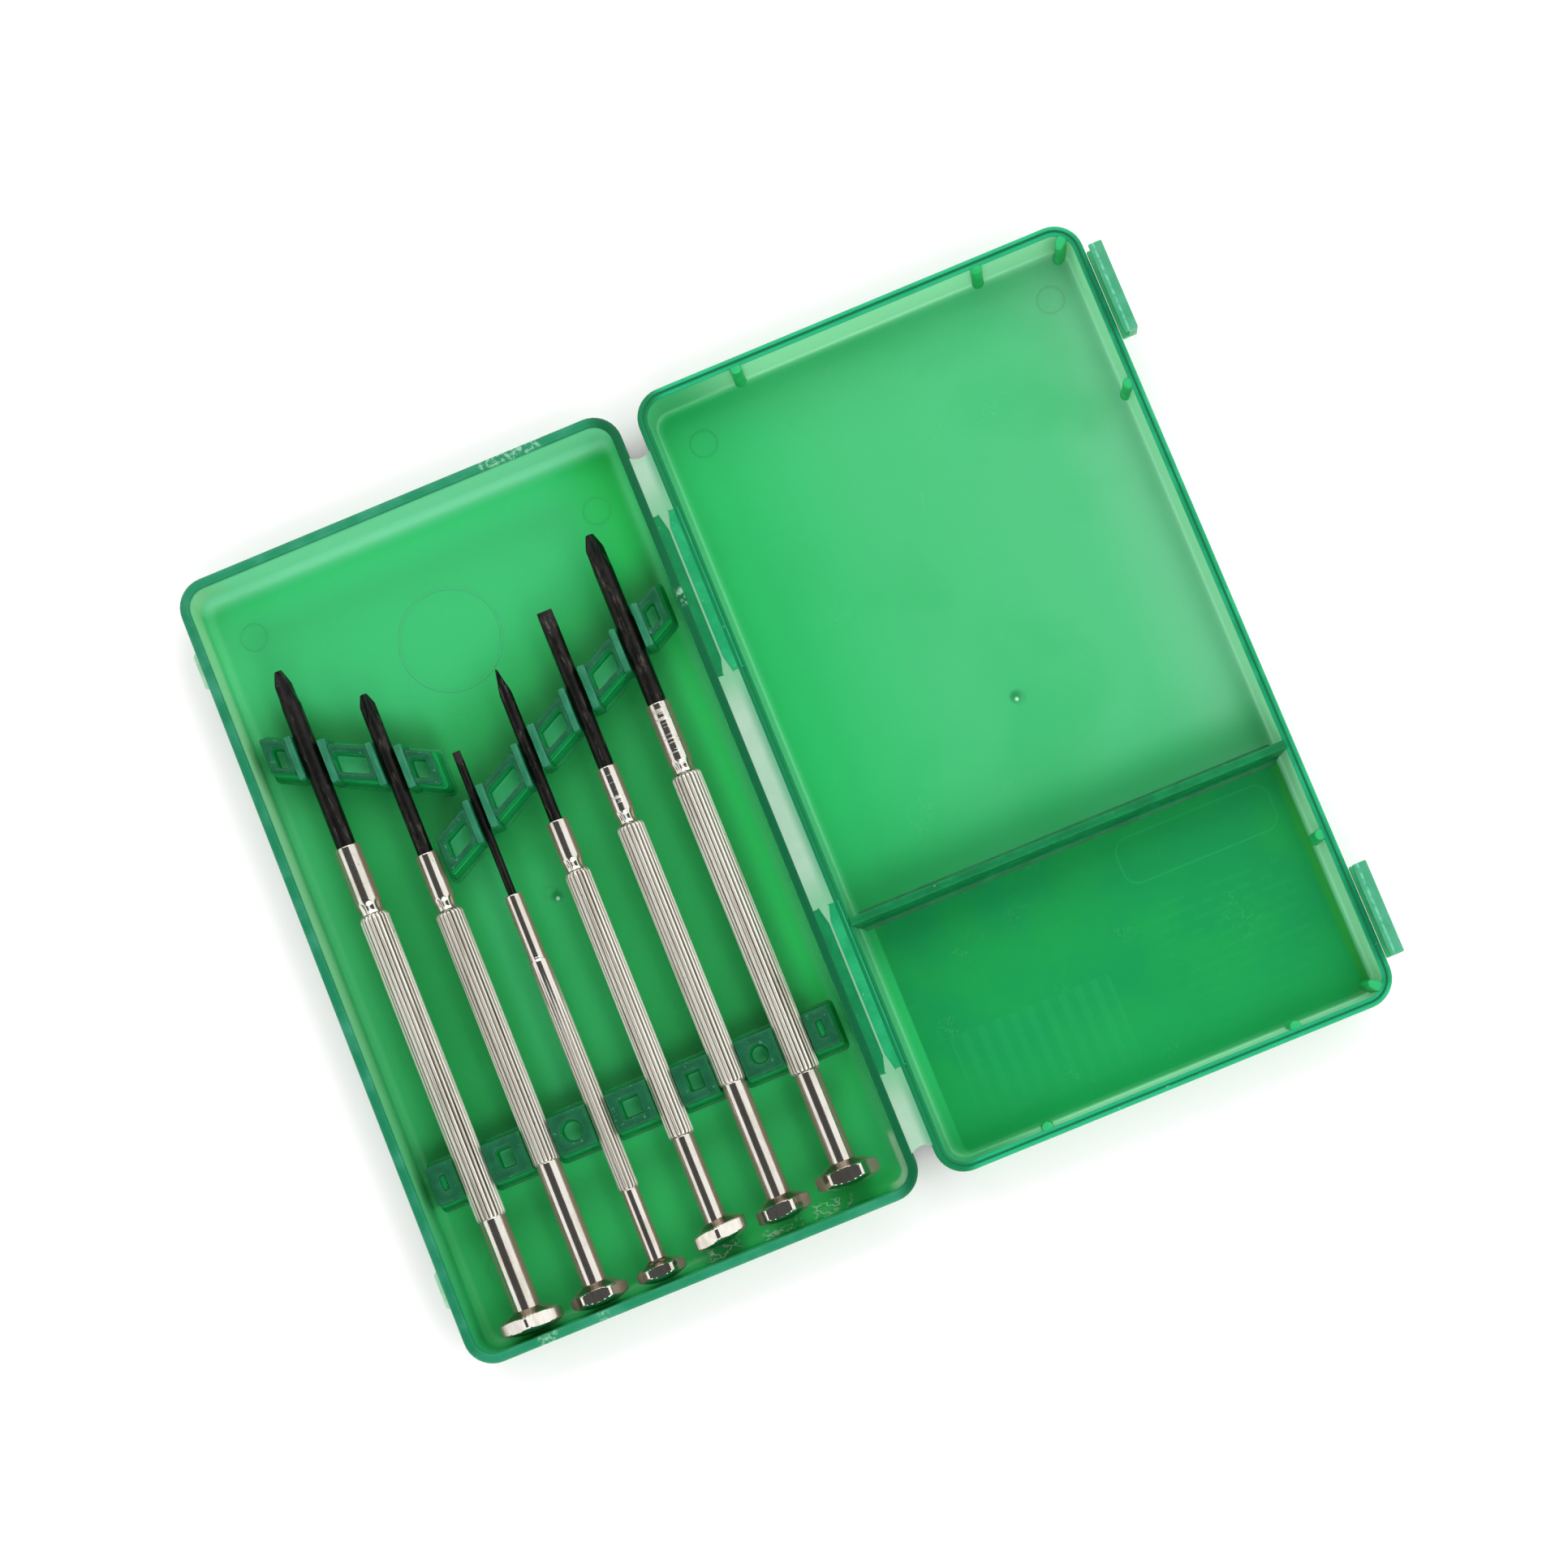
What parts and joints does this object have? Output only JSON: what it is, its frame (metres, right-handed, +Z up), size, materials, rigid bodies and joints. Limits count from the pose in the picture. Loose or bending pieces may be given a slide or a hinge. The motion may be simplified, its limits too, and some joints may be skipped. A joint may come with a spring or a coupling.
{
  "type": "precision screwdriver set",
  "caption": "Small flat hinged case of translucent plastic, lying open, with slim fluted precision screwdrivers with swivel caps held side by side in moulded racks.",
  "frame": {"origin": "middle of the open set's footprint, on the surface that it lies on", "axes": "+X across the open case from the tray to the lid, +Y along the screwdrivers towards their tips, +Z up"},
  "size_m": [0.138, 0.116, 0.0131],
  "materials": {
    "tray_plastic": "translucent green polypropylene, satin",
    "lid_plastic": "translucent green polypropylene, satin",
    "rack_plastic": "translucent green polypropylene, thick section",
    "hinge_plastic": "stress-whitened green polypropylene film",
    "label": "plain gummed label on the outside of the lid",
    "nickel_plate": "bright nickel plate, worn",
    "blade_steel": "black oxide on hardened steel"
  },
  "bodies": {
    "tray": {"tray_shell": "tray_plastic", "handle_rack": "rack_plastic", "blade_rack_left": "rack_plastic", "blade_rack_right": "rack_plastic", "hinge_web": "hinge_plastic"},
    "lid": {"lid_shell": "lid_plastic", "lid_label": "label"},
    "latch_tip_end": {"latch_tongue_tip_end": "lid_plastic"},
    "latch_cap_end": {"latch_tongue_cap_end": "lid_plastic"},
    "driver_1": {"driver_1_blade": "blade_steel", "driver_1_barrel": "nickel_plate", "driver_1_cap_pin": "nickel_plate"},
    "driver_1_cap": {"driver_1_swivel_cap": "nickel_plate"},
    "driver_2": {"driver_2_blade": "blade_steel", "driver_2_barrel": "nickel_plate", "driver_2_cap_pin": "nickel_plate"},
    "driver_2_cap": {"driver_2_swivel_cap": "nickel_plate"},
    "driver_3": {"driver_3_blade": "blade_steel", "driver_3_barrel": "nickel_plate", "driver_3_cap_pin": "nickel_plate"},
    "driver_3_cap": {"driver_3_swivel_cap": "nickel_plate"},
    "driver_4": {"driver_4_blade": "blade_steel", "driver_4_barrel": "nickel_plate", "driver_4_cap_pin": "nickel_plate"},
    "driver_4_cap": {"driver_4_swivel_cap": "nickel_plate"},
    "driver_5": {"driver_5_blade": "blade_steel", "driver_5_barrel": "nickel_plate", "driver_5_cap_pin": "nickel_plate"},
    "driver_5_cap": {"driver_5_swivel_cap": "nickel_plate"},
    "driver_6": {"driver_6_blade": "blade_steel", "driver_6_barrel": "nickel_plate", "driver_6_cap_pin": "nickel_plate"},
    "driver_6_cap": {"driver_6_swivel_cap": "nickel_plate"}
  },
  "joints": [
    {"name": "lid_hinge", "type": "hinge", "parent": "tray", "child": "lid", "pos_m": [-0.00075, 0, 0.0095], "axis": [0, 1, 0], "range_deg": [-180, 0]},
    {"name": "latch_flex_tip_end", "type": "hinge", "parent": "lid", "child": "latch_tip_end", "pos_m": [0.06715, 0.046, 0.0088], "axis": [0, 1, 0], "range_deg": [0, 12], "stiffness_Nm_per_rad": 0.3},
    {"name": "latch_flex_cap_end", "type": "hinge", "parent": "lid", "child": "latch_cap_end", "pos_m": [0.06715, -0.046, 0.0088], "axis": [0, 1, 0], "range_deg": [0, 12], "stiffness_Nm_per_rad": 0.3},
    {"name": "driver_1_lift_out", "type": "slide", "parent": "tray", "child": "driver_1", "axis": [0, 0, 1], "range_m": [0, 0.03]},
    {"name": "driver_1_cap_swivel", "type": "hinge", "parent": "driver_1", "child": "driver_1_cap", "pos_m": [-0.05895, -0.054, 0.0061], "axis": [0, 1, 0], "continuous": true},
    {"name": "driver_2_lift_out", "type": "slide", "parent": "tray", "child": "driver_2", "axis": [0, 0, 1], "range_m": [0, 0.03]},
    {"name": "driver_2_cap_swivel", "type": "hinge", "parent": "driver_2", "child": "driver_2_cap", "pos_m": [-0.04905, -0.054, 0.0061], "axis": [0, 1, 0], "continuous": true},
    {"name": "driver_3_lift_out", "type": "slide", "parent": "tray", "child": "driver_3", "axis": [0, 0, 1], "range_m": [0, 0.03]},
    {"name": "driver_3_cap_swivel", "type": "hinge", "parent": "driver_3", "child": "driver_3_cap", "pos_m": [-0.03995, -0.054, 0.0061], "axis": [0, 1, 0], "continuous": true},
    {"name": "driver_4_lift_out", "type": "slide", "parent": "tray", "child": "driver_4", "axis": [0, 0, 1], "range_m": [0, 0.03]},
    {"name": "driver_4_cap_swivel", "type": "hinge", "parent": "driver_4", "child": "driver_4_cap", "pos_m": [-0.03055, -0.054, 0.0061], "axis": [0, 1, 0], "continuous": true},
    {"name": "driver_5_lift_out", "type": "slide", "parent": "tray", "child": "driver_5", "axis": [0, 0, 1], "range_m": [0, 0.03]},
    {"name": "driver_5_cap_swivel", "type": "hinge", "parent": "driver_5", "child": "driver_5_cap", "pos_m": [-0.02135, -0.054, 0.0061], "axis": [0, 1, 0], "continuous": true},
    {"name": "driver_6_lift_out", "type": "slide", "parent": "tray", "child": "driver_6", "axis": [0, 0, 1], "range_m": [0, 0.03]},
    {"name": "driver_6_cap_swivel", "type": "hinge", "parent": "driver_6", "child": "driver_6_cap", "pos_m": [-0.01155, -0.054, 0.0061], "axis": [0, 1, 0], "continuous": true}
  ]
}
